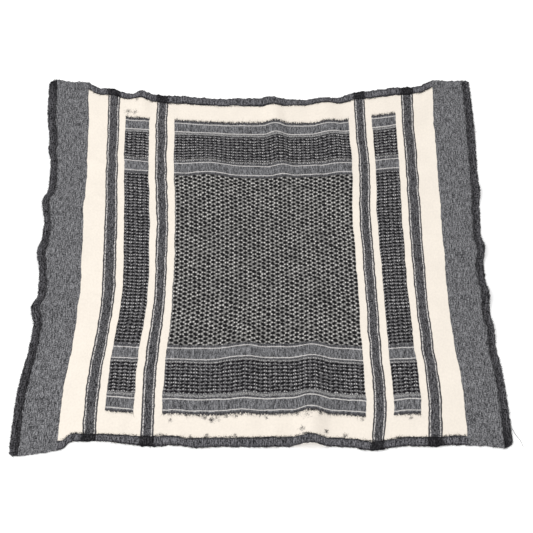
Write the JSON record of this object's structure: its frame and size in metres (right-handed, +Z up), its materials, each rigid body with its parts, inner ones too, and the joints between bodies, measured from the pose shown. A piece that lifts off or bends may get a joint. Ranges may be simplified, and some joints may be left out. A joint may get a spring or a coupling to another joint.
{
  "type": "scarf",
  "caption": "Square woven headscarf laid out flat, a thin cloth sheet with turned hems, wavy edges and low folds.",
  "frame": {"origin": "on the surface that the scarf lies on, under the middle of its box", "axes": "+Z up out of the cloth's right side, +X across the cloth towards its right edge, +Y along its warp towards its far end"},
  "size_m": [1.1132, 1.1102, 0.0227],
  "materials": {
    "woven_cloth": "soft napped weave in cream and charcoal",
    "side_hem_cloth": "soft napped charcoal hem",
    "end_hem_cloth": "soft napped dark grey marl hem"
  },
  "bodies": {
    "root": {"cloth": "woven_cloth", "hem_left": "side_hem_cloth", "hem_right": "side_hem_cloth", "hem_far": "end_hem_cloth", "hem_near": "end_hem_cloth"}
  },
  "joints": []
}
